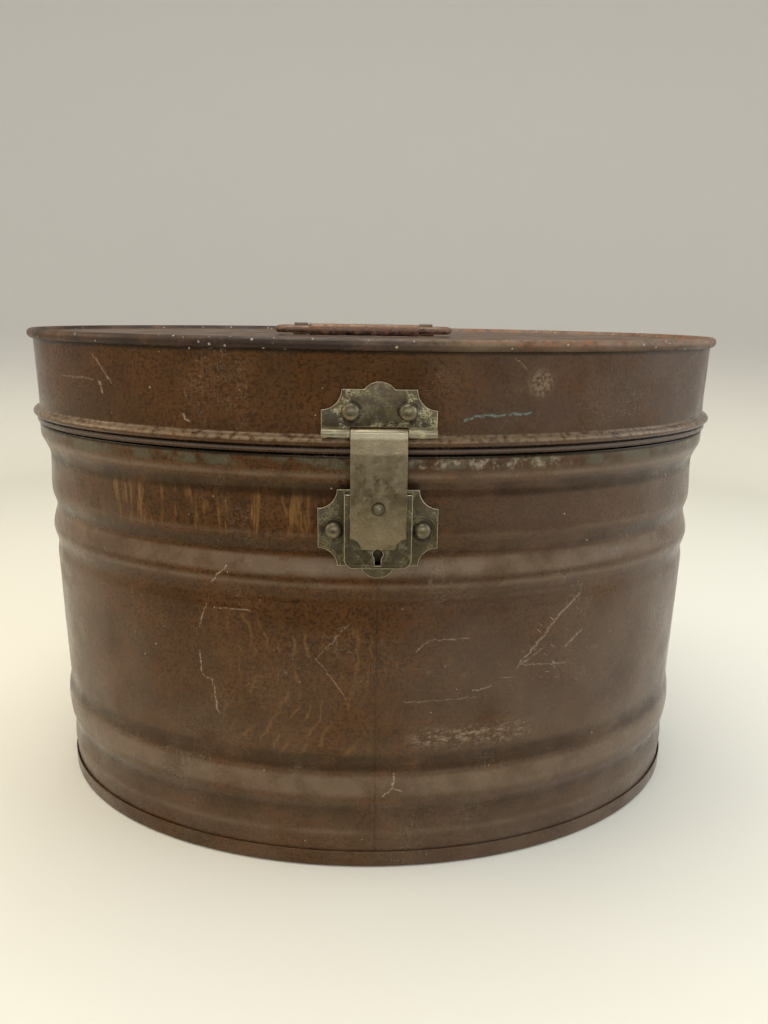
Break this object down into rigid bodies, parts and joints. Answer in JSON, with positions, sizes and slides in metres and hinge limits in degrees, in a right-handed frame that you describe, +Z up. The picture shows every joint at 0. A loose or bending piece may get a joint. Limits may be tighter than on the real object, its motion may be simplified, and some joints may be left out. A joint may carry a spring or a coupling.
{
  "type": "hat box",
  "caption": "Oval sheet-metal hat box with swaged walls, a rear-hinged seamed lid, a bail handle and a brass hasp lock with a keyhole.",
  "frame": {"origin": "on the floor, under the middle of the bounding box", "axes": "+X along the long axis of the oval, -Y towards the lock at the front, +Z up"},
  "size_m": [0.4004, 0.2874, 0.2743],
  "materials": {
    "japanned_tin": "worn brown japan varnish on tinplate, scratched, with rusty seams",
    "aged_brass": "dull, brown-grey tarnish with pale corroded spots",
    "steel": "plain dark steel, lightly rusted",
    "rusted_wire": "brown varnished steel wire and tin, worn to rust"
  },
  "bodies": {
    "case": {"case_sheet_left": "japanned_tin", "case_sheet_right": "japanned_tin", "bottom_pan": "japanned_tin", "lock_plate": "aged_brass", "lock_rivet_left": "aged_brass", "lock_rivet_right": "aged_brass", "lock_case": "aged_brass", "bolt_spring": "steel", "case_leaf": "japanned_tin", "case_leaf_rivet_left": "japanned_tin", "case_leaf_rivet_right": "japanned_tin", "rear_hinge_pin": "steel"},
    "lid": {"lid_band": "japanned_tin", "lid_top": "japanned_tin", "lid_leaf": "japanned_tin", "lid_leaf_rivet_left": "japanned_tin", "lid_leaf_rivet_right": "japanned_tin", "hasp_plate": "aged_brass", "hasp_plate_rivet_left": "aged_brass", "hasp_plate_rivet_right": "aged_brass", "hasp_pin": "steel", "handle_loop_left": "japanned_tin", "handle_loop_right": "japanned_tin", "handle_rivet_left_front": "japanned_tin", "handle_rivet_left_rear": "japanned_tin", "handle_rivet_right_front": "japanned_tin", "handle_rivet_right_rear": "japanned_tin"},
    "hasp": {"hasp": "aged_brass", "hasp_staple": "aged_brass"},
    "handle": {"handle_bail": "rusted_wire", "handle_grip": "rusted_wire"},
    "bolt": {"lock_bolt": "steel"}
  },
  "joints": [
    {"name": "lid_hinge", "type": "hinge", "parent": "case", "child": "lid", "pos_m": [0, 0.14155, 0.2193], "axis": [-1, 0, 0], "range_deg": [0, 105]},
    {"name": "hasp_hinge", "type": "hinge", "parent": "lid", "child": "hasp", "pos_m": [0, -0.13855, 0.2292], "axis": [-1, 0, 0], "range_deg": [0, 130]},
    {"name": "handle_pivot", "type": "hinge", "parent": "lid", "child": "handle", "pos_m": [-0.007, -0.00045, 0.27105], "axis": [-1, 0, 0], "range_deg": [0, 180]},
    {"name": "bolt_slide", "type": "slide", "parent": "case", "child": "bolt", "axis": [-1, 0, 0], "range_m": [0, 0.0044]}
  ]
}
